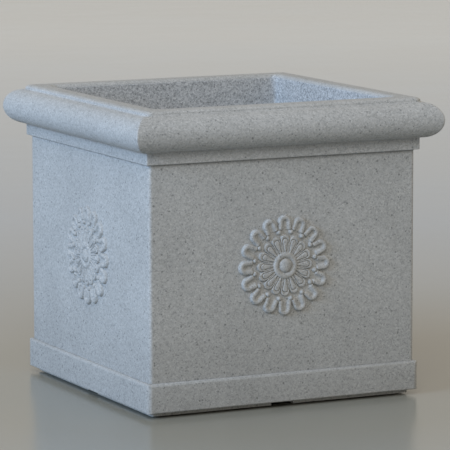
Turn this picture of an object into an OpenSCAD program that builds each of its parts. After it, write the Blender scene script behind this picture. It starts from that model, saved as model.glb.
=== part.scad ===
// Square cast-stone planter box: base tray with a plinth and feet, walled box, bullnose rim,
// a rosette on each face, a floor drain with a lift-out plug, and rubber pads under the feet.
// Millimetres, +Z up. The origin is on the ground, under the middle of the box.

/* [Box] */
// Width of the box, between its side faces
body_w = 520; // [420:10:640]
// Depth of the box, between its front and back faces
body_d = 520; // [420:10:640]
// Height of the rim's top above the ground
overall_h = 536; // [440:4:680]
// Thickness of the box walls
wall_t = 30; // [24:1:36]
// Radius of the box's upright outside corners
corner_r = 6; // [3:1:10]
// Radius of the box's upright inside corners
inner_corner_r = 12; // [6:1:20]

/* [Rim] */
// Radius of the rim's half-round nosing
nosing_r = 31.5; // [26:0.5:36]
// Distance from the box face to the nosing's outer edge
nosing_out = 40; // [36:1:46]
// Rounding of the rim's four outer corners
nosing_corner_r = 2; // [1:1:8]
// Height of the flat band under the nosing
fascia_h = 21.5; // [16:0.5:28]
// Distance that the flat band stands proud of the box face
fascia_out = 7; // [5:0.5:10]
// Height of the raised lip above the nosing
lip_h = 8.5; // [8:0.5:14]
// Distance from the box face to the lip's outer face
lip_out = 10.5; // [6:0.5:14]
// Radius of the cove between the nosing and the lip
lip_cove_r = 3; // [2:0.5:3.5]
// Rounding of the lip's outer top edge
lip_round_r = 4.5; // [3:0.5:4.5]
// Rounding of the lip's four outer corners
lip_corner_r = 13; // [10:1:20]
// Rounding of the lip's inner top edge
lip_roll_r = 7; // [3:0.5:8]
// Thickness of the wall's tongue, which stands inside the rim
tongue_t = 16; // [12:0.5:18]
// Height of the wall's tongue above its shoulder
tongue_h = 23; // [16:0.5:28]

/* [Joints] */
// Thickness of the bed of jointing compound
bed_t = 2; // [1.5:0.5:3]
// Thickness of the compound beside the tongue
joint_side_t = 1; // [0.5:0.5:1.5]
// Distance that the rim joint is raked back from the box face
joint_rake = 1; // [0.5:0.5:3]
// Clearance around the foot of the walls in the base tray
seat_gap = 0.5; // [0.3:0.1:1]

/* [Base] */
// Height of the plinth band
plinth_h = 52; // [40:1:64]
// Distance that the plinth stands proud of the box face
plinth_out = 7; // [6:0.5:12]
// Rounding of the plinth's top edge
plinth_top_r = 6; // [2:0.5:6]
// Rounding of the plinth's bottom edge
plinth_foot_r = 3; // [1:0.5:5]
// Rounding of the plinth's upright corners
plinth_corner_r = 10; // [4:1:14]
// Thickness of the floor
floor_t = 30; // [26:1:38]
// Depth of the groove in the floor that the walls stand in
wall_groove = 10; // [6:0.5:12]
// Height of the cast feet
foot_h = 7; // [5:0.5:12]
// Distance from the box face to the feet's outer edge
foot_inset = 7; // [4:0.5:16]
// Width of the drain channels between the feet
channel_w = 43; // [30:1:60]

/* [Floor pads] */
// Radius of a rubber pad
pad_r = 30; // [20:1:36]
// Distance that a pad holds the feet off the ground
pad_proud = 3; // [2:0.5:5]
// Depth of a pad's seat in its foot
pad_seat = 2; // [1:0.5:4]
// Distance from the feet's outer edge to a pad's centre
pad_inset = 53; // [40:1:70]

/* [Drain] */
// Radius of the drain's way through
drain_r = 15; // [12:0.5:18]
// Wall of the drain's tail
tail_t = 4; // [3:0.5:5]
// Width of the drain's flange
flange_w = 11; // [9:0.5:14]
// Thickness of the drain's flange
flange_t = 2.5; // [2:0.5:3]
// Thickness of the rubber gasket under the flange
gasket_t = 1.5; // [1:0.5:2]
// Radius of the well under the floor, which holds the backnut
well_r = 50; // [46:1:60]
// Thickness of the floor left above the well
well_roof = 14; // [12:1:16]
// Thickness of the backnut
backnut_t = 8; // [6:0.5:10]
// Thickness of the strainer disc
strainer_t = 1.5; // [1:0.5:2]
// Radius of a strainer hole
strainer_hole_r = 1.8; // [1.4:0.1:2]

/* [Rosettes] */
// Radius of a rosette, to the tips of its scrolls
rosette_r = 89; // [70:1:105]
// Number of scrolls, and of petals
petals = 16; // [12:1:18]
// Radius of a fixing stud
stud_r = 3; // [2.5:0.5:4]

/* [Hidden] */
$fn = 96;

stone = "#aab0b1";
joint_grey = "#8b8e8c";
steel = "#b9bcc0";
rubber = "#2b2c2e";
moulded = "#3c4146";

far = 2000;          // longer than any part, for cutting shapes
over = 1;            // how far a cut runs past the face that it cuts
sliver = 0.01;       // how far two parts of one cut run into each other
fit = 0.3;           // gap around pieces that are pushed together
thread_gap = 0.15;   // gap between the two halves of a thread

hw = body_w / 2;
hd = body_d / 2;
foot_z = pad_proud;                       // underside of the feet
plinth_z = foot_z + foot_h;               // underside of the plinth and floor
plinth_top = plinth_z + plinth_h;
floor_z = plinth_z + floor_t;             // top of the floor
groove_z = floor_z - wall_groove;
wall_z = groove_z + bed_t;                // foot of the walls
nosing_top = overall_h - lip_h;
nosing_z = nosing_top - nosing_r;         // middle of the nosing
fascia_top = nosing_z - nosing_r;
fascia_z = fascia_top - fascia_h;
shoulder_z = fascia_z - bed_t;
tongue_z = shoulder_z + tongue_h;
rim_bed_z = tongue_z + bed_t;             // where the rim sits on the tongue
rosette_z = (plinth_top + fascia_z) / 2;

tail_r = drain_r + tail_t;
mouth_r = tail_r - 1.5;                   // the plug's seat at the flange
throat_r = drain_r + 2.5;                 // above the strainer's ledge
flange_r = tail_r + flange_w;
flange_top = floor_z - 0.5;
flange_z = flange_top - flange_t;
gasket_z = flange_z - gasket_t;
well_z = floor_z - well_roof;             // ceiling of the well
ledge_z = well_z - 4;                     // where the strainer rests
tail_z = well_z - backnut_t - 5;

scroll_r = rosette_r * 0.14;              // half a scroll's width
scroll_at = rosette_r - scroll_r;
bead_at = rosette_r * 0.72;
daisy_r = rosette_r * 0.6;
petal_r = daisy_r * sin(180 / petals) * 0.8;
collar_r = rosette_r * 0.26;
boss_r = rosette_r * 0.16;
back_t = 2.5;
scroll_t = 6;
petal_t = 4.4;
petal_edge_t = 5.4;
collar_t = 7.5;
boss_t = 10.5;
washer_t = 2;
washer_r = stud_r * 3;
nut_t = 5;
nut_r = stud_r * 1.93;
stud_in = 7;                              // the stud's hold in the rosette
dome_r = stud_r * 1.6;

// ---- shapes used by more than one piece ----

module rounded_rect(w, d, r) {
    square([w - 2 * r, d], center = true);
    square([w, d - 2 * r], center = true);
    for (x = [-1, 1], y = [-1, 1])
        translate([x * (w / 2 - r), y * (d / 2 - r)]) circle(r);
}

// An upright block with rounded corners, half sizes x and y, from z0 to z1
module upright(x, y, r, z0, z1) {
    translate([0, 0, z0]) linear_extrude(z1 - z0) rounded_rect(2 * x, 2 * y, r);
}

// A square block, half sizes x and y, from z0 to z1
module block(x, y, z0, z1) {
    translate([-x, -y, z0]) cube([2 * x, 2 * y, z1 - z0]);
}

// A moulding that is mitred at four corners. Child 0 is its outline across the
// width and child 1 across the depth, with z upwards.
module mitred() {
    intersection() {
        translate([0, far / 2, 0]) rotate([90, 0, 0]) linear_extrude(far) children(0);
        translate([-far / 2, 0, 0]) rotate([90, 0, 90]) linear_extrude(far) children(1);
    }
}

// Places a child that faces +Z on box face i: 0 front, 1 right, 2 back, 3 left
module on_face(i) {
    rotate([0, 0, 90 * i])
        translate([0, -(i % 2 == 0 ? hd : hw), rosette_z])
            rotate([90, 0, 0]) children();
}

module on_every_face() {
    for (i = [0:3]) on_face(i) children();
}

module at_corners(x, y) {
    for (sx = [-1, 1], sy = [-1, 1]) translate([sx * x, sy * y, 0]) children();
}

module around(n) {
    for (i = [0:n - 1]) rotate(90 + i * 360 / n) children();
}

// ---- box ----

module inner_space(z0, z1) {
    upright(hw - wall_t, hd - wall_t, inner_corner_r, z0, z1);
}

module body_shell() {
    color(stone) difference() {
        union() {
            upright(hw, hd, corner_r, wall_z, shoulder_z);
            block(hw - wall_t + tongue_t, hd - wall_t + tongue_t, wall_z, tongue_z);
        }
        inner_space(wall_z - over, tongue_z + over);
        on_every_face() translate([0, 0, -wall_t - over])
            cylinder(r = stud_r + fit, h = wall_t + 2 * over);
    }
}

// ---- rim ----

// Outline of the band and nosing across the box, for a box of half size h
module nosing_outline(h) {
    nosing_x = h + nosing_out - nosing_r;
    translate([-h - fascia_out, fascia_z])
        square([2 * (h + fascia_out), fascia_top - fascia_z + nosing_r / 2]);
    translate([-nosing_x, nosing_z - nosing_r]) square([2 * nosing_x, 2 * nosing_r]);
    for (s = [-1, 1]) translate([s * nosing_x, nosing_z]) circle(nosing_r);
}

// Half outline of the lip with its cove, outwards from where the corner's rounding is centred
module lip_outline(span) {
    translate([0, nosing_top - over]) square([span, lip_h + over - lip_round_r]);
    translate([0, nosing_top]) square([span - lip_round_r, lip_h]);
    translate([span - lip_round_r, overall_h - lip_round_r]) circle(lip_round_r);
    difference() {
        translate([span - sliver, nosing_top - over])
            square([lip_cove_r + sliver, lip_cove_r + over]);
        translate([span + lip_cove_r, nosing_top + lip_cove_r]) circle(lip_cove_r);
    }
}

module raised_lip() {
    x = hw + lip_out - lip_corner_r;
    y = hd + lip_out - lip_corner_r;
    for (s = [0, 180]) rotate([0, 0, s]) {
        translate([0, y, 0]) rotate([90, 0, 0]) linear_extrude(2 * y) lip_outline(hw + lip_out);
        translate([-x, 0, 0]) rotate([90, 0, 90]) linear_extrude(2 * x) lip_outline(hd + lip_out);
    }
    at_corners(x, y) rotate_extrude() lip_outline(lip_corner_r);
}

// Half outline of the opening's rolled top edge, outwards from where the inside
// corner's rounding is centred
module roll_outline(span) {
    top_z = overall_h + over;
    square_z = overall_h - lip_roll_r;
    translate([0, square_z]) difference() {
        square([span + lip_roll_r, top_z - square_z]);
        translate([span + lip_roll_r, 0]) circle(lip_roll_r);
    }
}

module rolled_opening() {
    x = hw - wall_t - inner_corner_r;
    y = hd - wall_t - inner_corner_r;
    inner_space(rim_bed_z - over, overall_h - lip_roll_r + sliver);
    for (s = [0, 180]) rotate([0, 0, s]) {
        translate([0, y, 0]) rotate([90, 0, 0]) linear_extrude(2 * y)
            translate([-sliver, 0]) roll_outline(hw - wall_t + sliver);
        translate([-x, 0, 0]) rotate([90, 0, 90]) linear_extrude(2 * x)
            translate([-sliver, 0]) roll_outline(hd - wall_t + sliver);
    }
    at_corners(x, y) rotate_extrude() roll_outline(inner_corner_r);
}

module rim_coping() {
    rebate = -wall_t + tongue_t + joint_side_t;
    color(stone) difference() {
        union() {
            intersection() {
                mitred() {
                    nosing_outline(hw);
                    nosing_outline(hd);
                }
                upright(hw + nosing_out, hd + nosing_out, nosing_corner_r,
                        fascia_z - over, nosing_top + over);
            }
            raised_lip();
        }
        block(hw + rebate, hd + rebate, fascia_z - over, rim_bed_z);
        rolled_opening();
    }
}

// Jointing compound: a bed on the shoulder, a skin beside the tongue, a bed on top
module rim_joint_seal() {
    tongue = -wall_t + tongue_t;
    side = tongue + joint_side_t;
    color(joint_grey) difference() {
        union() {
            block(hw - joint_rake, hd - joint_rake, shoulder_z, fascia_z);
            block(hw + side, hd + side, shoulder_z, rim_bed_z);
        }
        block(hw + tongue, hd + tongue, shoulder_z - over, tongue_z);
        inner_space(tongue_z - over, rim_bed_z + over);
    }
}

// ---- base ----

// Outline of the plinth across the box, for a box of half size h
module plinth_outline(h) {
    x = h + plinth_out;
    top_x = x - plinth_top_r;
    foot_x = x - plinth_foot_r;
    translate([-x, plinth_z + plinth_foot_r])
        square([2 * x, plinth_h - plinth_foot_r - plinth_top_r]);
    translate([-top_x, plinth_top - plinth_top_r - over]) square([2 * top_x, plinth_top_r + over]);
    translate([-foot_x, plinth_z]) square([2 * foot_x, plinth_foot_r + over]);
    for (s = [-1, 1]) {
        translate([s * top_x, plinth_top - plinth_top_r]) circle(plinth_top_r);
        translate([s * foot_x, plinth_z + plinth_foot_r]) circle(plinth_foot_r);
    }
}

module feet() {
    x = hw - foot_inset;
    y = hd - foot_inset;
    difference() {
        upright(x, y, corner_r, foot_z, plinth_z + over);
        block(far, channel_w / 2, foot_z - over, plinth_z);
        block(channel_w / 2, far, foot_z - over, plinth_z);
    }
}

module base_tray() {
    color(stone) difference() {
        union() {
            intersection() {
                mitred() {
                    plinth_outline(hw);
                    plinth_outline(hd);
                }
                upright(hw + plinth_out, hd + plinth_out, plinth_corner_r,
                        plinth_z - over, plinth_top + over);
            }
            feet();
        }
        difference() {
            upright(hw + seat_gap, hd + seat_gap, corner_r, groove_z, plinth_top + over);
            upright(hw - wall_t - seat_gap, hd - wall_t - seat_gap, inner_corner_r,
                    groove_z - over, floor_z);
        }
        translate([0, 0, foot_z - over]) cylinder(r = well_r, h = well_z - foot_z + over);
        translate([0, 0, gasket_z]) cylinder(r = flange_r + 1, h = floor_z - gasket_z + over);
        cylinder(r = tail_r + 1, h = floor_z);
        at_corners(hw - foot_inset - pad_inset, hd - foot_inset - pad_inset)
            cylinder(r = pad_r + fit, h = foot_z + pad_seat);
    }
}

module base_joint_seal() {
    color(joint_grey) difference() {
        upright(hw, hd, corner_r, groove_z, wall_z);
        inner_space(groove_z - over, wall_z + over);
    }
}

module floor_pad(sx, sy) {
    x = hw - foot_inset - pad_inset;
    y = hd - foot_inset - pad_inset;
    groove_w = 3;
    color(rubber) translate([sx * x, sy * y, 0]) difference() {
        cylinder(r = pad_r, h = pad_proud + pad_seat);
        for (r = [pad_r * 0.35, pad_r * 0.68]) translate([0, 0, -over]) difference() {
            cylinder(r = r + groove_w / 2, h = 1 + over);
            cylinder(r = r - groove_w / 2, h = 1 + over);
        }
    }
}

// ---- drain ----

module drain_outlet() {
    ease = 1;                             // bevel on the flange's edges
    throat_h = 6;                         // straight part above the ledge
    color(moulded) rotate_extrude() polygon([
        [drain_r, tail_z], [tail_r, tail_z], [tail_r, flange_z], [flange_r, flange_z],
        [flange_r, flange_top - ease], [flange_r - ease, flange_top], [mouth_r + ease, flange_top],
        [mouth_r, flange_top - ease], [throat_r, ledge_z + throat_h], [throat_r, ledge_z],
        [drain_r, ledge_z]
    ]);
}

module drain_gasket() {
    color(rubber) translate([0, 0, gasket_z]) difference() {
        cylinder(r = flange_r, h = gasket_t);
        translate([0, 0, -over]) cylinder(r = tail_r + thread_gap, h = gasket_t + 2 * over);
    }
}

module drain_backnut() {
    grip = tail_r + 9;                    // hexagon's radius
    collar = 3;                           // width and thickness of the collar above it
    color(moulded) translate([0, 0, well_z - backnut_t]) difference() {
        union() {
            cylinder(r = grip, h = backnut_t - collar + over, $fn = 6);
            translate([0, 0, backnut_t - collar]) cylinder(r = grip + collar, h = collar);
        }
        translate([0, 0, -over]) cylinder(r = tail_r + thread_gap, h = backnut_t + 2 * over);
    }
}

module drain_strainer() {
    rings = [[0, 1], [1 / 3, 6], [2 / 3, 12]];   // share of the drain's radius, number of holes
    color(steel) translate([0, 0, ledge_z]) difference() {
        cylinder(r = throat_r - fit, h = strainer_t);
        for (ring = rings) around(ring[1]) translate([ring[0] * drain_r, 0, -over])
            cylinder(r = strainer_hole_r, h = strainer_t + 2 * over);
    }
}

// A tapered bung with a flat cap and a finger tab
module drain_plug() {
    cap_r = mouth_r + 6;
    cap_z = flange_top + fit;
    cap_t = 3.5;
    cap_bevel = 1.5;
    neck_r = mouth_r - 0.6;
    neck_h = 1.2;
    foot = ledge_z + 8;
    tab_w = 24;
    tab_t = 6;
    tab_h = 15;
    tab_sink = 0.5;                       // the tab's hold in the cap
    finger_r = 3.5;
    color(rubber) {
        rotate_extrude() polygon([
            [0, foot], [throat_r - 2, foot], [neck_r, cap_z - neck_h], [neck_r, cap_z],
            [cap_r, cap_z], [cap_r, cap_z + cap_t - cap_bevel],
            [cap_r - cap_bevel, cap_z + cap_t], [0, cap_z + cap_t]
        ]);
        translate([0, tab_t / 2, cap_z + cap_t - tab_sink]) rotate([90, 0, 0])
                linear_extrude(tab_t) difference() {
            union() {
                translate([-tab_w / 2, 0]) square([tab_w, tab_h - tab_w / 4]);
                translate([-tab_w / 4, 0]) square([tab_w / 2, tab_h]);
                for (s = [-1, 1]) translate([s * tab_w / 4, tab_h - tab_w / 4]) circle(tab_w / 4);
            }
            translate([0, (tab_h + 1) / 2]) circle(finger_r);
        }
    }
}

// ---- rosettes ----

// A petal from the hub out to a round tip, drawn in by m all round
module petal_outline(m) {
    r = petal_r - m;
    at = daisy_r - petal_r;
    foot_w = collar_r * sin(180 / petals) - m / 2;
    lean = asin((r - foot_w) / (at - collar_r * 0.8));
    translate([at, 0]) circle(r);
    polygon([
        [collar_r * 0.8, -foot_w], [at + r * sin(-lean), -r * cos(lean)],
        [at + r * sin(-lean), r * cos(lean)], [collar_r * 0.8, foot_w]
    ]);
}

// An open horseshoe scroll, which shares a bead with the scroll on each side
module scroll_outline() {
    rim_w = scroll_r * 0.36;
    leg = scroll_at - bead_at;
    bead_r = scroll_r * 0.33;
    difference() {
        union() {
            translate([scroll_at, 0]) circle(scroll_r);
            translate([bead_at, -scroll_r]) square([leg, 2 * scroll_r]);
        }
        translate([scroll_at, 0]) circle(scroll_r - rim_w);
        translate([bead_at - over, -scroll_r + rim_w])
            square([leg + over, 2 * (scroll_r - rim_w)]);
    }
    for (s = [-1, 1]) rotate(s * 180 / petals) translate([bead_at - bead_r, 0]) circle(bead_r);
}

module rosette(i) {
    bite = 1;                             // how far one layer sinks into the next
    plate_edge = 2;                       // how far the back plate runs past the beads
    vein_in = 0.6;                        // a petal's raised edge line, from its outline
    vein_to = 2;
    bead_ring_r = collar_r * 0.16;        // roundness of the collar
    color(stone) on_face(i) difference() {
        union() {
            linear_extrude(back_t) {
                circle(bead_at + plate_edge);
                around(petals) {
                    translate([scroll_at, 0]) circle(scroll_r);
                    translate([bead_at - plate_edge, -scroll_r])
                        square([scroll_at - bead_at + plate_edge, 2 * scroll_r]);
                }
            }
            translate([0, 0, bite]) linear_extrude(scroll_t - bite) around(petals) scroll_outline();
            translate([0, 0, bite]) linear_extrude(petal_t - bite) around(petals) petal_outline(0);
            translate([0, 0, bite]) linear_extrude(petal_edge_t - bite) around(petals) difference() {
                petal_outline(vein_in);
                petal_outline(vein_to);
            }
            translate([0, 0, bite]) cylinder(r = collar_r - bite, h = petal_t);
            rotate_extrude() translate([collar_r - bead_ring_r, collar_t - bead_ring_r])
                circle(bead_ring_r);
            translate([0, 0, bite]) rotate_extrude() difference() {
                square([collar_r, collar_t - bead_ring_r - bite]);
                translate([0, petal_t + bite]) square([collar_r - 2 * bead_ring_r, collar_t]);
            }
            translate([0, 0, petal_t - bite]) cylinder(r = boss_r, h = 2.5);
            translate([0, 0, boss_t]) rotate_extrude() intersection() {
                translate([0, -dome_sphere_r()]) circle(dome_sphere_r());
                translate([0, -boss_t + petal_t]) square([boss_r, boss_t]);
            }
        }
        translate([0, 0, -over]) cylinder(r = stud_r + 0.1, h = stud_in + over);
    }
}

// Radius of the ball that the boss's crown is part of
function dome_sphere_r() =
    let (rise = boss_t - petal_t - 1.5) (boss_r * boss_r + rise * rise) / (2 * rise);

module rosette_studs() {
    back = wall_t + washer_t + nut_t;
    color(steel) on_every_face() translate([0, 0, -back]) cylinder(r = stud_r, h = back + stud_in);
}

module rosette_sealing_washers() {
    color(rubber) on_every_face() translate([0, 0, -wall_t - washer_t]) difference() {
        cylinder(r = washer_r, h = washer_t);
        translate([0, 0, -over]) cylinder(r = stud_r + fit, h = washer_t + 2 * over);
    }
}

module rosette_cap_nuts() {
    color(steel) on_every_face() translate([0, 0, -wall_t - washer_t]) mirror([0, 0, 1]) difference() {
        union() {
            cylinder(r = nut_r, h = nut_t, $fn = 6);
            translate([0, 0, nut_t - 1]) rotate_extrude() intersection() {
                circle(dome_r);
                square(dome_r);
            }
        }
        translate([0, 0, -over]) cylinder(r = stud_r + 0.1, h = nut_t + over);
    }
}

body_shell();
rim_coping();
base_tray();
rim_joint_seal();
base_joint_seal();
rosette(0);  // rosette_front
rosette(1);  // rosette_right
rosette(2);  // rosette_back
rosette(3);  // rosette_left
rosette_studs();
rosette_sealing_washers();
rosette_cap_nuts();
drain_outlet();
drain_gasket();
drain_backnut();
drain_strainer();
drain_plug();
floor_pad(-1, -1);  // floor_pad_front_left
floor_pad(1, -1);  // floor_pad_front_right
floor_pad(-1, 1);  // floor_pad_back_left
floor_pad(1, 1);  // floor_pad_back_right
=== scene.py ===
import math
import bmesh
import bpy
from mathutils import Matrix, Vector


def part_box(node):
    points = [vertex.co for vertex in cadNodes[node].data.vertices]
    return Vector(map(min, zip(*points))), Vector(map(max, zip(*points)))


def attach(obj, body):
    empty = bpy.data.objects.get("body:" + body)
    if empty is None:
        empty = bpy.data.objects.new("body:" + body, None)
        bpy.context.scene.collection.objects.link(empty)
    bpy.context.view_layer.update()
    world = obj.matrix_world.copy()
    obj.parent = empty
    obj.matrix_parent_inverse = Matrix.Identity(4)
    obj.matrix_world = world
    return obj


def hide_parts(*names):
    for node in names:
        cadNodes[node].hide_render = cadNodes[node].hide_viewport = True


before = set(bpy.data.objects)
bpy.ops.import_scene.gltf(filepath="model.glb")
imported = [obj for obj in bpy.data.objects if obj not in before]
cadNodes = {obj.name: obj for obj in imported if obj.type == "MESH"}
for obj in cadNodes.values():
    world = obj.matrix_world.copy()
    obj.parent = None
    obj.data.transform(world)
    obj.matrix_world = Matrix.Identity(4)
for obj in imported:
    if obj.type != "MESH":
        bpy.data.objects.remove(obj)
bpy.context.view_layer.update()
scene = bpy.context.scene
print("frame loaded, pieces:", len(cadNodes))


cameraSetup = {
    "place": (-2.6346, -5.4443, 1.1458),
    "heading": 0.4524,  # from +Y towards +X, in radians
    "tilt": 0.1405,     # downwards
    "roll": -0.0019,
    "lens": 268.6,
}


def makeCamera(setup):
    heading, tilt = setup["heading"], setup["tilt"]
    level = Vector((math.sin(heading), math.cos(heading), 0))
    forward = level * math.cos(tilt) - Vector((0, 0, math.sin(tilt)))
    side = Vector((math.cos(heading), -math.sin(heading), 0))
    up = side.cross(forward)
    turn = Matrix.Rotation(setup["roll"], 3, "Z")
    facing = Matrix((side, up, -forward)).transposed() @ turn
    data = bpy.data.cameras.new("camera")
    data.lens = setup["lens"]
    data.sensor_width = 36
    data.clip_end = 200
    camera = bpy.data.objects.new("camera", data)
    camera.matrix_world = Matrix.Translation(setup["place"]) @ facing.to_4x4()
    scene.collection.objects.link(camera)
    scene.camera = camera


makeCamera(cameraSetup)
print("camera set")


# node helpers, shared by the materials and the builders

def addNode(tree, kind, inputs=None, **settings):
    node = tree.nodes.new(kind)
    for name, value in settings.items():
        setattr(node, name, value)
    for key, value in (inputs or {}).items():
        if isinstance(value, bpy.types.NodeSocket):
            tree.links.new(value, node.inputs[key])
        else:
            node.inputs[key].default_value = value
    return node


def mathNode(tree, operation, *values):
    node = addNode(tree, "ShaderNodeMath", dict(enumerate(values)), operation=operation)
    return node.outputs[0]


def spread(tree, value, low, high, outLow=0.0, outHigh=1.0):
    node = addNode(tree, "ShaderNodeMapRange", {
        "Value": value, "From Min": low, "From Max": high, "To Min": outLow, "To Max": outHigh,
    }, interpolation_type="SMOOTHSTEP")
    return node.outputs["Result"]


def mixColour(tree, factor, first, second, blend="MIX"):
    node = addNode(tree, "ShaderNodeMix", data_type="RGBA", blend_type=blend)
    for index, value in ((0, factor), (6, first), (7, second)):
        if isinstance(value, bpy.types.NodeSocket):
            tree.links.new(value, node.inputs[index])
        else:
            node.inputs[index].default_value = value
    return node.outputs[2]


def newGroup(name, inputs, outputs):
    tree = bpy.data.node_groups.new(name, "ShaderNodeTree")
    for label, value in inputs.items():
        socket = tree.interface.new_socket(label, in_out="INPUT", socket_type="NodeSocketFloat")
        socket.default_value = value
    for label, kind in outputs.items():
        tree.interface.new_socket(label, in_out="OUTPUT", socket_type=kind)
    start = tree.nodes.new("NodeGroupInput")
    end = tree.nodes.new("NodeGroupOutput")
    return tree, start.outputs, end.inputs


def useGroup(tree, group, values):
    node = tree.nodes.new("ShaderNodeGroup")
    node.node_tree = group
    for label, value in values.items():
        node.inputs[label].default_value = value
    return node.outputs


# effects that more than one material uses

grainDetail = {
    "fineSize": 0.45,        # share of the grain size
    "coarseShare": 0.62,     # of the tone, the rest is the fine grain's
    "speckReach": 0.10,      # smallest speck, as a share of its cell
    "speckSpread": 0.16,
    "speckRagged": 0.12,
    "raggedScale": 900.0,
    "pitScale": 420.0,
    "pitLift": 0.6,
    "waveScale": 45.0,
    "waveLift": 1.1,
    "grainLift": 0.25,
}


def buildStoneGrain(detail):
    tree, given, out = newGroup("stoneGrain", {
        "Grain Size": 0.0022, "Speck Size": 0.009, "Speck Share": 0.2, "Cloud Size": 0.12,
    }, {"Tone": "NodeSocketFloat", "Specks": "NodeSocketFloat", "Cloud": "NodeSocketFloat",
        "Height": "NodeSocketFloat"})
    place = tree.nodes.new("ShaderNodeTexCoord").outputs["Object"]

    def cells(size, seed):
        shifted = addNode(tree, "ShaderNodeVectorMath", {
            0: place, 1: (seed, seed * 0.7, -seed)}, operation="ADD")
        cell = addNode(tree, "ShaderNodeTexVoronoi", {
            "Vector": shifted.outputs[0], "Scale": mathNode(tree, "DIVIDE", 1.0, size),
        }, voronoi_dimensions="3D", feature="F1")
        pick = addNode(tree, "ShaderNodeSeparateColor", {"Color": cell.outputs["Color"]})
        return pick.outputs[0], pick.outputs[1], cell.outputs["Distance"]

    coarse, _, coarseAway = cells(given["Grain Size"], 0.0)
    fine, _, _ = cells(mathNode(tree, "MULTIPLY", given["Grain Size"], detail["fineSize"]), 3.1)
    coarsePart = mathNode(tree, "MULTIPLY", coarse, detail["coarseShare"])
    finePart = mathNode(tree, "MULTIPLY", fine, 1 - detail["coarseShare"])
    tone = mathNode(tree, "ADD", coarsePart, finePart)
    tree.links.new(tone, out["Tone"])

    chosen, width, away = cells(given["Speck Size"], 7.7)
    isChosen = mathNode(tree, "LESS_THAN", chosen, given["Speck Share"])
    wider = mathNode(tree, "MULTIPLY", width, detail["speckSpread"])
    reach = mathNode(tree, "ADD", detail["speckReach"], wider)
    ragged = addNode(tree, "ShaderNodeTexNoise", {
        "Vector": place, "Scale": detail["raggedScale"], "Detail": 1.0})
    rough = mathNode(tree, "MULTIPLY", ragged.outputs["Fac"], detail["speckRagged"])
    edge = mathNode(tree, "ADD", away, rough)
    inside = mathNode(tree, "LESS_THAN", edge, mathNode(tree, "ADD", reach, 0.06))
    tree.links.new(mathNode(tree, "MULTIPLY", isChosen, inside), out["Specks"])

    cloudScale = mathNode(tree, "DIVIDE", 1.0, given["Cloud Size"])
    cloud = addNode(tree, "ShaderNodeTexNoise", {"Vector": place, "Scale": cloudScale, "Detail": 3.0})
    tree.links.new(cloud.outputs["Fac"], out["Cloud"])

    pits = addNode(tree, "ShaderNodeTexNoise", {
        "Vector": place, "Scale": detail["pitScale"], "Detail": 3.0, "Roughness": 0.6})
    waves = addNode(tree, "ShaderNodeTexNoise", {
        "Vector": place, "Scale": detail["waveScale"], "Detail": 2.0})
    grainLift = mathNode(tree, "MULTIPLY", coarseAway, detail["grainLift"])
    pitLift = mathNode(tree, "MULTIPLY", pits.outputs["Fac"], detail["pitLift"])
    waveLift = mathNode(tree, "MULTIPLY", waves.outputs["Fac"], detail["waveLift"])
    height = mathNode(tree, "ADD", pitLift, grainLift)
    height = mathNode(tree, "ADD", height, waveLift)
    tree.links.new(height, out["Height"])
    return tree


def buildPaintedEdgesAndHollows():
    # painted highlight on convex edges, broken up by noise, and painted shade in hollows, both read from the
    # mesh's pointiness
    tree, given, out = newGroup("paintedEdgesAndHollows", {
        "Edge Low": 0.505, "Edge High": 0.56, "Break Up": 0.5,
    }, {"Edges": "NodeSocketFloat", "Hollows": "NodeSocketFloat"})
    place = tree.nodes.new("ShaderNodeTexCoord").outputs["Object"]
    pointed = tree.nodes.new("ShaderNodeNewGeometry").outputs["Pointiness"]
    patches = addNode(tree, "ShaderNodeTexNoise", {"Vector": place, "Scale": 60.0, "Detail": 4.0})
    patchy = patches.outputs["Fac"]
    keep = mathNode(tree, "SUBTRACT", 1.0, mathNode(tree, "MULTIPLY", patchy, given["Break Up"]))
    edges = addNode(tree, "ShaderNodeMapRange", {
        "Value": pointed, "From Min": given["Edge Low"], "From Max": given["Edge High"]})
    tree.links.new(mathNode(tree, "MULTIPLY", edges.outputs["Result"], keep), out["Edges"])
    tree.links.new(spread(tree, pointed, 0.495, 0.43), out["Hollows"])
    return tree


def buildFineTexture():
    tree, given, out = newGroup("fineTexture", {"Feature Size": 0.0008, "Smudge Size": 0.04}, {
        "Fine": "NodeSocketFloat", "Smudge": "NodeSocketFloat"})
    place = tree.nodes.new("ShaderNodeTexCoord").outputs["Object"]
    fine = addNode(tree, "ShaderNodeTexNoise", {
        "Vector": place, "Scale": mathNode(tree, "DIVIDE", 1.0, given["Feature Size"]), "Detail": 2.0})
    smudge = addNode(tree, "ShaderNodeTexNoise", {
        "Vector": place, "Scale": mathNode(tree, "DIVIDE", 1.0, given["Smudge Size"]), "Detail": 4.0})
    tree.links.new(fine.outputs["Fac"], out["Fine"])
    tree.links.new(smudge.outputs["Fac"], out["Smudge"])
    return tree


def buildInsideMask():
    # 1 within the box's inner faces and above its underside, 0 elsewhere
    tree, given, out = newGroup("insideMask", {"Half Width": 0.23, "Half Depth": 0.23, "Low": 0.03}, {
        "Inside": "NodeSocketFloat"})
    place = tree.nodes.new("ShaderNodeTexCoord").outputs["Object"]
    axes = addNode(tree, "ShaderNodeSeparateXYZ", {"Vector": place})
    inX = mathNode(tree, "LESS_THAN", mathNode(tree, "ABSOLUTE", axes.outputs[0]), given["Half Width"])
    inY = mathNode(tree, "LESS_THAN", mathNode(tree, "ABSOLUTE", axes.outputs[1]), given["Half Depth"])
    above = mathNode(tree, "GREATER_THAN", axes.outputs[2], given["Low"])
    tree.links.new(mathNode(tree, "MULTIPLY", mathNode(tree, "MULTIPLY", inX, inY), above), out["Inside"])
    return tree


stoneGrain = buildStoneGrain(grainDetail)
insideMask = buildInsideMask()
paintedEdgesAndHollows = buildPaintedEdgesAndHollows()
fineTexture = buildFineTexture()


# sizes taken from the CAD boxes

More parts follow.
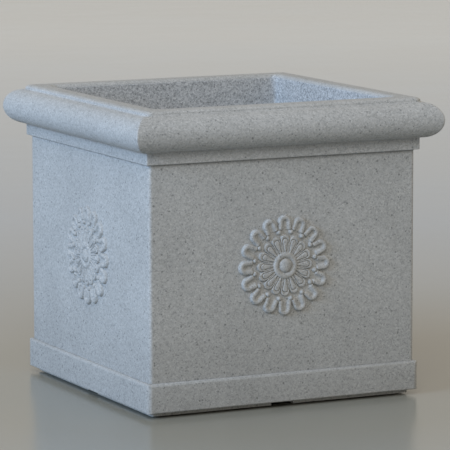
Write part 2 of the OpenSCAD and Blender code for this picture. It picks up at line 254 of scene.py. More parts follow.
boxLow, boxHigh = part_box("body_shell")
halfX, halfY = boxHigh.x, boxHigh.y  # half the walls' outside width and depth
rimLow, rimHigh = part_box("rim_coping")
sealLow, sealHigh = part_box("rim_joint_seal")

walls = {
    "thickness": 0.030,
    "tongue": 0.016,
    "outerCorner": 0.006,
    "innerCorner": 0.012,
    "sharpCorner": 0.001,
    "ease": 0.001,
    "reach": 0.002,          # how near a face a point counts as on it
}


# materials

def newMaterial(name, colour, roughness, metallic=0.0, specular=0.5):
    material = bpy.data.materials.new(name)
    material.use_nodes = True
    material.diffuse_color = (*colour, 1)
    tree = material.node_tree
    shader = tree.nodes["Principled BSDF"]
    shader.inputs["Base Color"].default_value = (*colour, 1)
    shader.inputs["Roughness"].default_value = roughness
    shader.inputs["Metallic"].default_value = metallic
    shader.inputs["Specular IOR Level"].default_value = specular
    return material, tree, shader


def giveBump(tree, shader, height, distance, strength):
    bump = addNode(tree, "ShaderNodeBump", {"Height": height, "Distance": distance, "Strength": strength})
    tree.links.new(bump.outputs["Normal"], shader.inputs["Normal"])


stoneFinish = {
    "ramp": ((0.0, (0.240, 0.245, 0.240)), (0.22, (0.345, 0.348, 0.338)), (0.42, (0.416, 0.418, 0.405)),
             (0.72, (0.455, 0.456, 0.442)), (1.0, (0.570, 0.570, 0.552))),
    "speck": (0.130, 0.135, 0.132),
    # painted highlight colour for convex edges, then painted shade colour for hollows
    "edgeHighlight": (0.560, 0.560, 0.540),
    "hollowShade": (0.300, 0.300, 0.290),
    "grainSize": 0.0025,
    "speckSize": 0.0075,
    "speckShare": 0.34,
    "speckDepth": 0.60,
    "roughness": 0.72,
    "bump": 0.00014,
    "footShadeTop": 0.24,     # painted shade: the foot is a little darker, fading out at this height
    "footShadeLevel": 0.860,
}

rawFinish = {
    "ramp": ((0.0, (0.200, 0.206, 0.206)), (0.30, (0.360, 0.370, 0.372)), (0.50, (0.460, 0.470, 0.472)),
             (0.78, (0.560, 0.568, 0.566)), (1.0, (0.700, 0.702, 0.694))),
    "speck": (0.110, 0.114, 0.112),
    "grainSize": 0.0028,
    "speckSize": 0.0056,
    "speckShare": 0.40,
    "speckDepth": 0.72,
    "bump": 0.00035,
}


def grainColour(tree, finish):
    grain = useGroup(tree, stoneGrain, {
        "Grain Size": finish["grainSize"], "Speck Size": finish["speckSize"],
        "Speck Share": finish["speckShare"]})
    ramp = addNode(tree, "ShaderNodeValToRGB", {"Fac": grain["Tone"]})
    stops = ramp.color_ramp.elements
    while len(stops) < len(finish["ramp"]):
        stops.new(0.5)
    for stop, (at, colour) in zip(stops, finish["ramp"]):
        stop.position = at
        stop.color = (*colour, 1)
    tint = spread(tree, grain["Cloud"], 0.3, 0.7, 0.955, 1.03)
    clouded = mixColour(tree, 1.0, ramp.outputs["Color"], tint, "MULTIPLY")
    specks = mathNode(tree, "MULTIPLY", grain["Specks"], finish["speckDepth"])
    return mixColour(tree, specks, clouded, (*finish["speck"], 1)), grain


def makeStone(name, finish, raw):
    # faced stone outside, coarse unfaced stone inside the box
    material, tree, shader = newMaterial(name, finish["ramp"][2][1], finish["roughness"], specular=0.35)
    facedColour, grain = grainColour(tree, finish)
    rawColour, rawGrain = grainColour(tree, raw)
    inside = useGroup(tree, insideMask, {
        "Half Width": halfX - walls["thickness"] + 0.0004,
        "Half Depth": halfY - walls["thickness"] + 0.0004})["Inside"]
    edgesAndHollows = useGroup(tree, paintedEdgesAndHollows, {"Edge Low": 0.505, "Edge High": 0.60, "Break Up": 0.6})
    base = mixColour(tree, inside, facedColour, rawColour)
    # painted highlight on convex edges, then painted shade in hollows
    edgeHighlightShare = mathNode(tree, "MULTIPLY", edgesAndHollows["Edges"], 0.30)
    highlighted = mixColour(tree, edgeHighlightShare, base, (*finish["edgeHighlight"], 1))
    hollowShadeShare = mathNode(tree, "MULTIPLY", edgesAndHollows["Hollows"], 0.35)
    hollowShade = mixColour(tree, hollowShadeShare, highlighted, (*finish["hollowShade"], 1))
    place = tree.nodes.new("ShaderNodeTexCoord").outputs["Object"]
    level = addNode(tree, "ShaderNodeSeparateXYZ", {"Vector": place}).outputs[2]
    # painted shade, darker towards the floor
    footShade = spread(tree, level, 0.01, finish["footShadeTop"], finish["footShadeLevel"], 1.0)
    tree.links.new(mixColour(tree, 1.0, hollowShade, footShade, "MULTIPLY"), shader.inputs["Base Color"])
    rough = finish["roughness"]
    tree.links.new(spread(tree, grain["Tone"], 0.1, 0.9, rough - 0.08, rough + 0.10), shader.inputs["Roughness"])
    share = raw["bump"] / finish["bump"]
    rawLift = mathNode(tree, "MULTIPLY", mathNode(tree, "MULTIPLY", rawGrain["Height"], share), inside)
    facedLift = mathNode(tree, "MULTIPLY", grain["Height"], mathNode(tree, "SUBTRACT", 1.0, inside))
    giveBump(tree, shader, mathNode(tree, "ADD", rawLift, facedLift), finish["bump"], 0.7)
    return material


def makePlain(name, colour, otherColour, roughness, featureSize, bump, metallic=0.0):
    material, tree, shader = newMaterial(name, colour, roughness, metallic)
    texture = useGroup(tree, fineTexture, {"Feature Size": featureSize})
    edgesAndHollows = useGroup(tree, paintedEdgesAndHollows, {"Edge Low": 0.51, "Edge High": 0.60})
    shade = spread(tree, texture["Smudge"], 0.35, 0.65)
    base = mixColour(tree, shade, (*colour, 1), (*otherColour, 1))
    # painted highlight: convex edges turn paler
    edgeHighlightColour = tuple(min(1, c * 1.5 + 0.03) for c in colour)
    tree.links.new(mixColour(tree, mathNode(tree, "MULTIPLY", edgesAndHollows["Edges"], 0.5), base, (*edgeHighlightColour, 1)),
                   shader.inputs["Base Color"])
    tree.links.new(spread(tree, texture["Smudge"], 0.3, 0.7, roughness - 0.07, roughness + 0.09),
                   shader.inputs["Roughness"])
    giveBump(tree, shader, texture["Fine"], bump, 0.6)
    return material


speckledStone = makeStone("speckledStone", stoneFinish, rawFinish)
plainFinishes = {   # colour, second colour, roughness, size of the texture, bump, metallic
    "jointCompound": ((0.32, 0.325, 0.315), (0.40, 0.405, 0.395), 0.85, 0.0006, 0.0002, 0.0),
    "blackRubber": ((0.028, 0.028, 0.030), (0.045, 0.045, 0.046), 0.70, 0.0005, 0.00008, 0.0),
    "mouldedPlastic": ((0.060, 0.066, 0.072), (0.075, 0.081, 0.088), 0.48, 0.0004, 0.00005, 0.0),
    "stainlessSteel": ((0.62, 0.62, 0.63), (0.70, 0.70, 0.70), 0.30, 0.0003, 0.00002, 1.0),
}
jointCompound, blackRubber, mouldedPlastic, stainlessSteel = (
    makePlain(name, *finish) for name, finish in plainFinishes.items())
print("materials made")


# mesh helpers

def newPiece(name, mesh, material):
    piece = bpy.data.objects.new(name, mesh)
    scene.collection.objects.link(piece)
    mesh.materials.clear()
    mesh.materials.append(material)
    return piece


def smoothShading(mesh, sharpAngle=40):
    mesh.polygons.foreach_set("use_smooth", [True] * len(mesh.polygons))
    mesh.set_sharp_from_angle(angle=math.radians(sharpAngle))
    mesh.update()


def arc(centreX, centreZ, radius, start, end, steps):
    # points on an arc, with angles in degrees
    angles = [math.radians(start + (end - start) * k / steps) for k in range(steps + 1)]
    return [(centreX + radius * math.cos(a), centreZ + radius * math.sin(a)) for a in angles]


def filleted(corners, steps=4, guard=0.0012):
    # a closed outline with each (x, z, radius) corner rounded and held by guard points
    points = []
    for index, (x, z, radius) in enumerate(corners):
        here = Vector((x, z))
        before = Vector(corners[index - 1][:2])
        after = Vector(corners[(index + 1) % len(corners)][:2])
        toBefore, toAfter = (before - here), (after - here)
        if radius <= 0:
            points.append((x, z))
            continue
        half = toBefore.angle(toAfter) / 2
        back = min(radius / math.tan(half), toBefore.length * 0.45, toAfter.length * 0.45)
        first, last = here + toBefore.normalized() * back, here + toAfter.normalized() * back
        if toBefore.length > 2 * (back + guard):
            points.append(tuple(first + toBefore.normalized() * guard))
        for k in range(steps + 1):
            t = k / steps
            spot = first * (1 - t) ** 2 + here * 2 * t * (1 - t) + last * t ** 2
            points.append(tuple(spot))
        if toAfter.length > 2 * (back + guard):
            points.append(tuple(last + toAfter.normalized() * guard))
    return points


def squareRing(halfX, halfY, radius, z, steps, guard=0.003):
    points = []
    for quarter, (signX, signY) in enumerate(((1, 1), (-1, 1), (-1, -1), (1, -1))):
        centre = Vector((signX * (halfX - radius), signY * (halfY - radius)))
        spots = []
        for k in range(steps + 1):
            angle = math.pi / 2 * (quarter + k / steps)
            spots.append(centre + radius * Vector((math.cos(angle), math.sin(angle))))
        start, end = math.pi / 2 * quarter, math.pi / 2 * (quarter + 1)
        spots.insert(0, spots[0] + guard * Vector((math.sin(start), -math.cos(start))))
        spots.append(spots[-1] + guard * Vector((-math.sin(end), math.cos(end))))
        points += [(p.x, p.y, z) for p in spots]
    return points


def sweepSquare(name, outline, halfX, halfY, cornerRadius, material, steps=6):
    # carries a closed outline of (out, z) points round the box; cornerRadius gives each one's corner
    mesh = bpy.data.meshes.new(name)
    built = bmesh.new()
    rings = []
    for out, z in outline:
        radius = cornerRadius(out, z)
        ring = squareRing(halfX + out, halfY + out, radius, z, steps)
        rings.append([built.verts.new(p) for p in ring])
    count = len(rings[0])
    for index, ring in enumerate(rings):
        after = rings[(index + 1) % len(rings)]
        for k in range(count):
            built.faces.new((ring[k], ring[(k + 1) % count], after[(k + 1) % count], after[k]))
    bmesh.ops.recalc_face_normals(built, faces=built.faces)
    built.to_mesh(mesh)
    built.free()
    smoothShading(mesh)
    return newPiece(name, mesh, material)


def revolve(name, outline, steps, material, closed=False):
    mesh = bpy.data.meshes.new(name)
    built = bmesh.new()
    rings = []
    for k in range(steps):
        angle = 2 * math.pi * k / steps
        rings.append([built.verts.new((r * math.cos(angle), r * math.sin(angle), z)) for r, z in outline])
    spans = len(outline) if closed else len(outline) - 1
    for k, ring in enumerate(rings):
        after = rings[(k + 1) % steps]
        for index in range(spans):
            other = (index + 1) % len(outline)
            built.faces.new((ring[index], ring[other], after[other], after[index]))
    bmesh.ops.remove_doubles(built, verts=built.verts, dist=1e-7)
    bmesh.ops.dissolve_degenerate(built, edges=built.edges, dist=1e-8)
    bmesh.ops.recalc_face_normals(built, faces=built.faces)
    built.to_mesh(mesh)
    built.free()
    smoothShading(mesh)
    return newPiece(name, mesh, material)


def settle(piece):
    # the evaluated shape becomes the piece's own plain mesh
    shown = piece.evaluated_get(bpy.context.evaluated_depsgraph_get())
    finished = bpy.data.meshes.new_from_object(shown)
    piece.modifiers.clear()
    piece.data = finished


def softened(node, material, width, segments=3, angle=32):
    # a copy of a CAD node with its sharp edges eased
    mesh = cadNodes[node].data.copy()
    built = bmesh.new()
    built.from_mesh(mesh)
    bmesh.ops.remove_doubles(built, verts=built.verts, dist=1e-6)
    bmesh.ops.dissolve_limit(built, angle_limit=math.radians(0.4), verts=built.verts, edges=built.edges)
    bmesh.ops.triangulate(built, faces=built.faces)  # so that a ring-shaped face keeps its hole open
    built.to_mesh(mesh)
    built.free()
    if "custom_normal" in mesh.attributes:
        mesh.attributes.remove(mesh.attributes["custom_normal"])
    piece = newPiece(node + "_finished", mesh, material)
    bevel = piece.modifiers.new("ease", "BEVEL")
    bevel.width = width
    bevel.segments = segments
    bevel.limit_method = "ANGLE"
    bevel.angle_limit = math.radians(angle)
    bevel.use_clamp_overlap = True
    settle(piece)
    smoothShading(piece.data)
    return piece


def standsFor(piece, node, body):
    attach(piece, body)
    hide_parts(node)


# builders for what repeats

def newBuilder(name, inputs):
    tree = bpy.data.node_groups.new(name, "GeometryNodeTree")
    tree.interface.new_socket("Geometry", in_out="INPUT", socket_type="NodeSocketGeometry")
    for label, (kind, value) in inputs.items():
        socket = tree.interface.new_socket(label, in_out="INPUT", socket_type=kind)
        if value is not None:
            socket.default_value = value
    tree.interface.new_socket("Geometry", in_out="OUTPUT", socket_type="NodeSocketGeometry")
    start = tree.nodes.new("NodeGroupInput")
    end = tree.nodes.new("NodeGroupOutput")
    return tree, start.outputs, end.inputs


def runBuilder(piece, tree, values):
    modifier = piece.modifiers.new("build", "NODES")
    modifier.node_group = tree
    sockets = {s.name: s.identifier for s in tree.interface.items_tree if s.in_out == "INPUT"}
    for label, value in values.items():
        modifier[sockets[label]] = value
    settle(piece)


def buildAround():
    # repeats one sector about Z, stands it upright, turns it to its face and puts it in place
    tree, given, out = newBuilder("repeatAround", {
        "Count": ("NodeSocketInt", 16), "Turn": ("NodeSocketFloat", 0.0),
        "Place": ("NodeSocketVector", None), "Material": ("NodeSocketMaterial", None)})
    spots = addNode(tree, "GeometryNodePoints", {"Count": given["Count"]})
    index = addNode(tree, "GeometryNodeInputIndex")
    step = mathNode(tree, "DIVIDE", 2 * math.pi, given["Count"])
    angle = mathNode(tree, "MULTIPLY_ADD", index.outputs[0], step, math.pi / 2)
    turned = addNode(tree, "ShaderNodeCombineXYZ", {"Z": angle})
    copies = addNode(tree, "GeometryNodeInstanceOnPoints", {
        "Points": spots.outputs[0], "Instance": given["Geometry"], "Rotation": turned.outputs[0]})
    real = addNode(tree, "GeometryNodeRealizeInstances", {"Geometry": copies.outputs[0]})
    joined = addNode(tree, "GeometryNodeMergeByDistance", {"Geometry": real.outputs[0], "Distance": 2e-5})
    upright = addNode(tree, "ShaderNodeCombineXYZ", {"X": math.pi / 2, "Z": given["Turn"]})
    placed = addNode(tree, "GeometryNodeTransform", {
        "Geometry": joined.outputs[0], "Rotation": upright.outputs[0], "Translation": given["Place"]})
    solid = addNode(tree, "GeometryNodeRealizeInstances", {"Geometry": placed.outputs[0]})
    faced = addNode(tree, "GeometryNodeSetMaterial", {
        "Geometry": solid.outputs[0], "Material": given["Material"]})
    tree.links.new(faced.outputs[0], out["Geometry"])
    return tree


def buildOnFaces():
    # puts one copy on each of the four inside faces
    tree, given, out = newBuilder("onFourFaces", {
        "Half Width": ("NodeSocketFloat", 0.24), "Half Depth": ("NodeSocketFloat", 0.24),
        "Height": ("NodeSocketFloat", 0.25), "Material": ("NodeSocketMaterial", None)})
    spots = addNode(tree, "GeometryNodePoints", {"Count": 4})
    index = addNode(tree, "GeometryNodeInputIndex").outputs[0]
    turn = mathNode(tree, "MULTIPLY", index, math.pi / 2)
    towardsFront = mathNode(tree, "MULTIPLY", given["Half Depth"], -1.0)
    away = addNode(tree, "ShaderNodeCombineXYZ", {
        "X": mathNode(tree, "MULTIPLY", mathNode(tree, "SINE", turn), given["Half Width"]),
        "Y": mathNode(tree, "MULTIPLY", mathNode(tree, "COSINE", turn), towardsFront),
        "Z": given["Height"]})
    moved = addNode(tree, "GeometryNodeSetPosition", {
        "Geometry": spots.outputs[0], "Position": away.outputs[0]})
    facing = addNode(tree, "ShaderNodeCombineXYZ", {"X": -math.pi / 2, "Z": turn})
    copies = addNode(tree, "GeometryNodeInstanceOnPoints", {
        "Points": moved.outputs[0], "Instance": given["Geometry"], "Rotation": facing.outputs[0]})
    real = addNode(tree, "GeometryNodeRealizeInstances", {"Geometry": copies.outputs[0]})
    faced = addNode(tree, "GeometryNodeSetMaterial", {
        "Geometry": real.outputs[0], "Material": given["Material"]})
    tree.links.new(faced.outputs[0], out["Geometry"])
    return tree


repeatAround = buildAround()
onFourFaces = buildOnFaces()


def makeWalls(sizes):
    ease, inner = sizes["ease"], -sizes["thickness"]
    tongue = inner + sizes["tongue"]
    shoulder = sealLow.z
    outline = filleted([
        (0, boxLow.z, ease), (0, shoulder, ease), (tongue, shoulder, 0), (tongue, boxHigh.z, ease),
        (inner, boxHigh.z, ease), (inner, boxLow.z, ease)])

    def corner(out, z):
        if out > -sizes["reach"]:
            return sizes["outerCorner"] + out
        return sizes["innerCorner"] if out < inner + sizes["reach"] else sizes["sharpCorner"]

    return sweepSquare("walls", outline, halfX, halfY, corner, speckledStone, steps=8)


standsFor(makeWalls(walls), "body_shell", "planter")


rim = {
    "nosingRadius": 0.0315,
    "fasciaOut": 0.007,
    "fasciaHeight": 0.0215,
    "lipOut": 0.0105,
    "lipHeight": 0.0085,
    "cove": 0.003,
    "lipRound": 0.0053,
    "lipRoundWide": 0.0120,
    "lipCorner": 0.013,
    "roll": 0.0075,
    "rollWide": 0.0110,
    "arris": 0.002,
    "ease": 0.0012,
    "guard": 0.001,          # a row of points this far from a rounding keeps the flat beside it flat
    "neckGuard": 0.0008,
    "rebateGap": 0.001,
}


def oval(centreX, centreZ, wide, high, start, end, steps):
    return [(centreX + (x - centreX) * wide, centreZ + (z - centreZ) * high)
            for x, z in arc(centreX, centreZ, 1, start, end, steps)]


def makeRim(sizes):
    radius, ease = sizes["nosingRadius"], sizes["ease"]
    out = rimHigh.x - halfX - radius
    middle = rimHigh.z - sizes["lipHeight"] - radius
    top, bottom = rimHigh.z, rimLow.z
    inner = -walls["thickness"]
    guard = sizes["guard"]
    rebate = inner + walls["tongue"] + sizes["rebateGap"]
    bed = sealHigh.z
    lip, cove, fascia = sizes["lipOut"], sizes["cove"], sizes["fasciaOut"]
    lipWide, lipHigh = sizes["lipRoundWide"], sizes["lipRound"]
    rollWide, rollHigh = sizes["rollWide"], sizes["roll"]
    coveFoot = top - sizes["lipHeight"]
    outline = [(rebate, bottom), (fascia - ease - guard, bottom)]
    outline += arc(fascia - ease, bottom + ease, ease, -90, 0, 4)
    outline += [(fascia, bottom + ease + guard), (fascia, middle - radius - sizes["neckGuard"])]
    outline += arc(out, middle, radius, -90, 80, 40)
    outline += arc(lip + cove, coveFoot + cove, cove, -96, -180, 6)
    outline += oval(lip - lipWide, top - lipHigh, lipWide, lipHigh, 0, 90, 12)
    outline += [(lip - lipWide - guard, top), (inner + rollWide + guard, top)]
    outline += oval(inner + rollWide, top - rollHigh, rollWide, rollHigh, 90, 180, 12)
    outline += [(inner, top - rollHigh - guard), (inner, bed + guard), (inner, bed), (rebate, bed)]

    def corner(away, z):
        if away < rebate + 1e-6 and z < bed + 1e-6:
            return walls["sharpCorner"] if away > inner + 1e-6 else walls["innerCorner"]
        if z < coveFoot or away > lip + cove + 1e-6:
            return sizes["arris"]
        if away <= inner + rollWide + walls["reach"]:
            return walls["innerCorner"] + away - inner
        return max(sizes["lipCorner"] + away - lip, walls["sharpCorner"])

    return sweepSquare("rim", outline, halfX, halfY, corner, speckledStone)


standsFor(makeRim(rim), "rim_coping", "planter")


tray = {"ease": 0.0012}
standsFor(softened("base_tray", speckledStone, tray["ease"]), "base_tray", "planter")
print("walls, rim and base made")


rosette = {
    "petals": 16,
    "edge": 0.0902,          # outside the scrolls
    "scrollAt": 0.0764,      # middle of a scroll
    "scrollRadius": 0.0088,  # centre line of its rim
    "scrollRim": 0.0042,     # half the rim's width
    "scrollHeight": 0.0057,
    "dish": 0.0016,
    "dishRise": 0.0026,
    "wrap": 100,             # how far the rim wraps round, in degrees each way
    "legEnd": 0.0630,
    "legHalf": 0.0094,
    "beadAt": 0.0600,        # beads stand between neighbouring scrolls
    "beadRadius": 0.0049,
    "beadHeight": 0.0068,
    "ground": 0.0012,
    "groundEdge": 0.0625,
    "tipAt": 0.0460,         # middle of a petal's round tip
    "tipRadius": 0.0083,
    "footAt": 0.0230,
    "petalEdge": 0.0030,
    "petalRim": 0.0053,
    "pillowAt": 0.0424,
    "pillowRadius": 0.0053,
    "pillowFoot": 0.0020,
    "pillow": 0.0060,
    "groove": 0.0011,        # half the width of the groove round a pillow
    "grooveDepth": 0.0018,
    "line": 0.0008,          # half the width of the line between petals
    "lineDepth": 0.0012,
    "collarAt": 0.0186,
    "collarHalf": 0.0050,
    "collarHeight": 0.0078,
    "bossRadius": 0.0124,
    "bossHeight": 0.0104,
    "well": 0.0048,          # level between the boss and the collar
    "buried": -0.0006,       # level of the open ground, inside the wall
    "rimRise": 0.0020,       # how far in from its edge a petal's rim is full height
    "pillowRise": 0.0048,
    "edgeBlend": 0.0004,
    "backDepth": 0.0004,     # how far the open edge is carried into the wall
}


def smoothStep(low, high, value):
    t = min(max((value - low) / (high - low), 0), 1)
    return t * t * (3 - 2 * t)


def softMax(first, second, blend=0.0006):
    reach = max(blend - abs(first - second), 0) / blend
    return max(first, second) + reach * reach * blend / 4


def fromTeardrop(along, across, tipAt, tipRadius, footAt, footHalf):
    # distance outside a shape that widens from its foot to a round tip
    if along > tipAt:
        return math.hypot(along - tipAt, across) - tipRadius
    t = max((along - footAt) / (tipAt - footAt), 0)
    return across - (footHalf + (tipRadius - footHalf) * t)


def scrollHeight(level, r, along, across, s):
    # a horseshoe rim round a dish; the bead at each end is shared with the next scroll
    wrap = math.radians(s["wrap"])
    wrapEnd = s["scrollAt"] + s["scrollRadius"] * math.cos(wrap)
    wrapHalf = s["scrollRadius"] * math.sin(wrap)
    if along > wrapEnd:
        off = math.hypot(along - s["scrollAt"], across) - s["scrollRadius"]
    else:
        t = min(max((along - s["legEnd"]) / (wrapEnd - s["legEnd"]), 0), 1)
        off = across - (s["legHalf"] + (wrapHalf - s["legHalf"]) * t)
    inward = min(max((-off - s["scrollRim"]) / (s["scrollRadius"] - s["scrollRim"]), 0), 1)
    bowl = s["dish"] + s["dishRise"] * (1 - inward) ** 2
    begun = smoothStep(s["legEnd"] - 0.0025, s["legEnd"] + 0.0015, along)
    if off < 0:
        level += (bowl - level) * begun
    share = min(abs(off) / s["scrollRim"], 1)
    rim = (1 - share ** 2.6) ** 0.62 * begun
    height = level + (s["scrollHeight"] - level) * rim
    half = math.pi / s["petals"]
    beadAlong, beadAcross = s["beadAt"] * math.cos(half), s["beadAt"] * math.sin(half)
    bead = math.hypot(along - beadAlong, across - beadAcross) / s["beadRadius"]
    if bead < 1:
        height = softMax(height, level + (s["beadHeight"] - level) * (1 - bead ** 2.4) ** 0.6)
    return height


def petalHeight(level, r, along, across, s):
    # a convex rim shared with the next petal, then a groove round a pillow
    off = math.hypot(max(along - s["tipAt"], 0), across) - s["tipRadius"]
    if off > s["edgeBlend"]:
        return level
    into = min(max(-off / s["rimRise"], 0), 1)
    rim = s["petalEdge"] + (s["petalRim"] - s["petalEdge"]) * math.sqrt(1 - (1 - into) ** 2)
    rim = level + (rim - level) * (1 - smoothStep(-0.0003, s["edgeBlend"], off))
    between = r * math.sin(math.pi / s["petals"]) - across
    line = s["lineDepth"] * max(0, 1 - (between / s["line"]) ** 2) * smoothStep(0.024, 0.036, r)
    off = fromTeardrop(along, across, s["pillowAt"], s["pillowRadius"], s["footAt"], s["pillowFoot"])
    groove = s["grooveDepth"] * max(0, 1 - (off / s["groove"]) ** 2)
    into = min(max(-off / s["pillowRise"], 0), 1)
    pillow = rim + (s["pillow"] - rim) * math.sqrt(1 - (1 - into) ** 2) if off < 0 else rim
    return pillow - groove - line


def rosetteHeight(r, angle, s):
    # height of the relief at a point of one sector, which is centred on a scroll and a petal
    along, across = r * math.cos(angle), abs(r * math.sin(angle))
    if r <= s["bossRadius"]:
        rise = math.sqrt(1 - (r / s["bossRadius"]) ** 2)
        return s["well"] + (s["bossHeight"] - s["well"]) * rise
    opened = smoothStep(s["groundEdge"] - 0.0008, s["groundEdge"] + 0.0010, r)
    level = s["ground"] + (s["buried"] - s["ground"]) * opened
    height = scrollHeight(level, r, along, across, s)
    if r < s["groundEdge"]:
        height = softMax(height, petalHeight(level, r, along, across, s), 0.0003)
    collar = abs(r - s["collarAt"]) / s["collarHalf"]
    if collar < 1:
        height = softMax(height, s["well"] + (s["collarHeight"] - s["well"]) * (1 - collar ** 2.2) ** 0.6)
    elif r < s["collarAt"]:
        height = s["well"]
    return height


def makeSector(sizes, material, segments=36, innerStep=0.0009, outerStep=0.0006):
    radii, r = [0.0], innerStep
    while r < sizes["edge"]:
        radii.append(r)
        r += innerStep if r < sizes["footAt"] else outerStep
    half = math.pi / sizes["petals"]
    mesh = bpy.data.meshes.new("sector")
    built = bmesh.new()
    rows = []
    for r in radii:
        row = []
        for k in range(segments + 1):
            angle = half * (2 * k / segments - 1)
            height = rosetteHeight(r, angle, sizes)
            row.append(built.verts.new((r * math.cos(angle), r * math.sin(angle), height)))
        rows.append(row)
    for inner, outer in zip(rows, rows[1:]):
        for k in range(segments):
            corners = (inner[k], outer[k], outer[k + 1], inner[k + 1])
            if max(v.co.z for v in corners) > sizes["buried"] + 0.0001:
                built.faces.new(corners)
    bmesh.ops.delete(built, geom=[v for v in built.verts if not v.link_faces], context="VERTS")
    bmesh.ops.remove_doubles(built, verts=built.verts, dist=1e-6)
    built.to_mesh(mesh)
    built.free()
    return newPiece("sector", mesh, material)


def closeBack(piece, inward, depth):
    # the open edge is carried into the wall and the back is filled
    built = bmesh.new()
    built.from_mesh(piece.data)
    rim = [e for e in built.edges if e.is_boundary]
    grown = bmesh.ops.extrude_edge_only(built, edges=rim)["geom"]
    for vert in (v for v in grown if isinstance(v, bmesh.types.BMVert)):
        vert.co += inward * depth
    bmesh.ops.holes_fill(built, edges=[e for e in built.edges if e.is_boundary], sides=0)
    bmesh.ops.recalc_face_normals(built, faces=built.faces)
    built.to_mesh(piece.data)
    built.free()
    smoothShading(piece.data, 60)


def makeRosettes(sizes):
    for index, side in enumerate(("front", "right", "back", "left")):
        node = "rosette_" + side
        low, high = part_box(node)
        turn = index * math.pi / 2
        outward = Vector((math.sin(turn), -math.cos(turn), 0))
        face = halfY if index % 2 == 0 else halfX
        place = outward * face + Vector((0, 0, (low.z + high.z) / 2))
        piece = makeSector(sizes, speckledStone)
        piece.name = node + "_carving"
        runBuilder(piece, repeatAround, {
            "Count": sizes["petals"], "Turn": turn, "Place": tuple(place), "Material": speckledStone})
        closeBack(piece, -outward, sizes["backDepth"])
        standsFor(piece, node, "planter")
        print(node, "made, faces:", len(piece.data.polygons))


makeRosettes(rosette)


fixings = {
    "nutHeight": 0.005,
    "nutRadius": 0.0058,
    "nutFoot": 0.0009,       # how far the nut's lower edge is turned in
    "nutShoulder": 0.0010,   # and its upper edge
    "domeRadius": 0.0048,
    "washerBore": 0.0033,
    "washerRadius": 0.009,
    "washerHeight": 0.002,
}


def makeCapNut(sizes):
    mesh = bpy.data.meshes.new("capNut")
    built = bmesh.new()
    radius, top = sizes["nutRadius"], sizes["nutHeight"]
    outline = [(radius - sizes["nutFoot"], 0), (radius, 0.0005), (radius, top - 0.0012),
               (radius - sizes["nutShoulder"], top - 0.0002)]
    corners = [(math.cos(k * math.pi / 3), math.sin(k * math.pi / 3)) for k in range(6)]
    rings = [[built.verts.new((r * x, r * y, z)) for x, y in corners] for r, z in outline]
    for lower, upper in zip(rings, rings[1:]):
        for k in range(6):
            built.faces.new((lower[k], lower[(k + 1) % 6], upper[(k + 1) % 6], upper[k]))
    built.faces.new(rings[0][::-1])
    built.faces.new(rings[-1])
    built.to_mesh(mesh)
    built.free()
    nut = newPiece("capNut", mesh, stainlessSteel)
    base = top - 0.001
    dome = revolve("dome", [(0, base - 0.001), (sizes["domeRadius"], base - 0.001)]
                   + arc(0, base, sizes["domeRadius"], 0, 90, 8), 32, stainlessSteel)
    joined = bmesh.new()
    joined.from_mesh(nut.data)
    joined.from_mesh(dome.data)
    joined.to_mesh(nut.data)
    joined.free()
    bpy.data.objects.remove(dome)
    smoothShading(nut.data, 30)
    return nut


def makeFixings(sizes):
    studLow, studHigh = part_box("rosette_studs")
    height = (studLow.z + studHigh.z) / 2
    inner = walls["thickness"]
    bore, edge, thick = sizes["washerBore"], sizes["washerRadius"], sizes["washerHeight"]
    section = filleted([(bore, 0, 0.0002), (edge, 0, 0.0005), (edge, thick, 0.0006), (bore, thick, 0.0003)],
                       3, 0.0002)
    washer = revolve("washer", section, 48, blackRubber, closed=True)
    nut = makeCapNut(sizes)
    for piece, node, lift, material, slot in (
            (washer, "rosette_sealing_washers", 0, blackRubber, "black_rubber"),
            (nut, "rosette_cap_nuts", thick, stainlessSteel, "stainless_steel")):
        runBuilder(piece, onFourFaces, {
            "Half Width": halfX - inner - lift, "Half Depth": halfY - inner - lift,
            "Height": height, "Material": material})
        piece.name = node + "_detailed"
        smoothShading(piece.data, 30)
        standsFor(piece, node, "planter")


makeFixings(fixings)

pads = {"corners": ("front_left", "front_right", "back_left", "back_right"), "ease": 0.0004}
drainPieces = {   # material, how far its edges are eased, slot, body
    "drain_outlet": (mouldedPlastic, 0.0004, "moulded_plastic", "planter"),
    "drain_backnut": (mouldedPlastic, 0.0006, "moulded_plastic", "planter"),
    "drain_strainer": (stainlessSteel, 0.00015, "stainless_steel", "planter"),
    "drain_gasket": (blackRubber, 0.0002, "black_rubber", "planter"),
    "drain_plug": (blackRubber, 0.0007, "black_rubber", "plug"),
}
for node, (material, ease, slot, body) in drainPieces.items():
    standsFor(softened(node, material, ease), node, body)
for corner in pads["corners"]:
    node = "floor_pad_" + corner
    standsFor(softened(node, blackRubber, pads["ease"]), node, "planter")

for node, material in (("rim_joint_seal", jointCompound), ("base_joint_seal", jointCompound),
                       ("rosette_studs", stainlessSteel)):
    mesh = cadNodes[node].data
    mesh.materials.clear()
    mesh.materials.append(material)
print("fixings, drain and pads made")


studio = {
    "floorShadeAndLight": ((0.05, (0.284, 0.278, 0.234)), (0.22, (0.435, 0.490, 0.550)),
                     (0.75, (0.860, 0.935, 1.000))),   # share of the fade, colour; painted shade darkens the floor near the planter, painted light makes it pale and bluish far off, standing in for a lit wall
    "fade": 10.0,
    "floorReach": 30.0,
    "skyColour": (1.0, 0.927, 0.820),
    "skyStrength": 0.52,
    "lights": {
        "windowLight": ((-8.0, -1.6, 3.2), (4.4, 3.6), 610, (0.455, 0.672, 1.0)),
        "fillLight": ((-3.2, -5.4, 5.2), (3.0, 3.0), 135, (1.0, 1.0, 1.0)),
    },
}


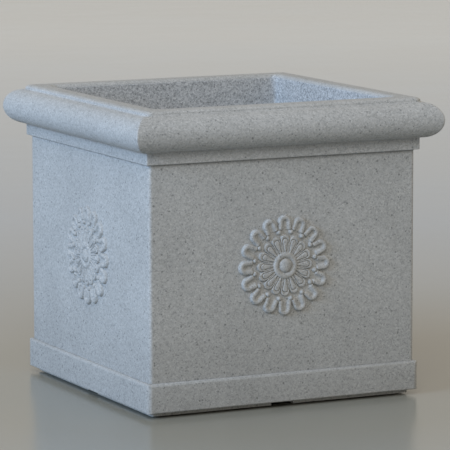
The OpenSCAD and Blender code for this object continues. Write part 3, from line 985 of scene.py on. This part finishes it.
def makeFloor(setup):
    nearest = setup["floorShadeAndLight"][0][1]
    material, tree, shader = newMaterial("paleFloor", nearest, 0.35)
    texture = useGroup(tree, fineTexture, {"Feature Size": 0.05, "Smudge Size": 0.8})
    place = tree.nodes.new("ShaderNodeTexCoord").outputs["Object"]
    away = addNode(tree, "ShaderNodeVectorMath", {0: place}, operation="LENGTH").outputs["Value"]
    # painted shade near the planter, fading to painted light far off
    shade = addNode(tree, "ShaderNodeValToRGB", {"Fac": mathNode(tree, "DIVIDE", away, setup["fade"])})
    stops = shade.color_ramp.elements
    stops.new(0.5)
    for stop, (at, colour) in zip(stops, setup["floorShadeAndLight"]):
        stop.position = at
        stop.color = (*colour, 1)
    tint = spread(tree, texture["Smudge"], 0.3, 0.7, 0.985, 1.015)
    base = mixColour(tree, 1.0, shade.outputs["Color"], tint, "MULTIPLY")
    tree.links.new(base, shader.inputs["Base Color"])
    tree.links.new(spread(tree, texture["Smudge"], 0.3, 0.7, 0.18, 0.23), shader.inputs["Roughness"])
    mesh = bpy.data.meshes.new("floor")
    built = bmesh.new()
    bmesh.ops.create_circle(built, cap_ends=True, segments=96, radius=setup["floorReach"])
    built.to_mesh(mesh)
    built.free()
    floor = newPiece("floor", mesh, material)


def addLight(name, place, size, power, colour, target=(0, 0, 0.28)):
    data = bpy.data.lights.new(name, "AREA")
    data.shape = "RECTANGLE"
    data.size, data.size_y = size
    data.energy = power
    data.color = colour
    light = bpy.data.objects.new(name, data)
    aim = Vector(target) - Vector(place)
    light.matrix_world = Matrix.Translation(place) @ aim.to_track_quat("-Z", "Y").to_matrix().to_4x4()
    scene.collection.objects.link(light)


def makeStudio(setup):
    makeFloor(setup)
    world = bpy.data.worlds.new("studio")
    scene.world = world
    world.use_nodes = True
    sky = world.node_tree.nodes["Background"]
    sky.inputs["Color"].default_value = (*setup["skyColour"], 1)
    sky.inputs["Strength"].default_value = setup["skyStrength"]
    for name, (place, size, power, colour) in setup["lights"].items():
        addLight(name, place, size, power, colour)


makeStudio(studio)
scene.view_settings.view_transform = "Standard"
print("studio made")
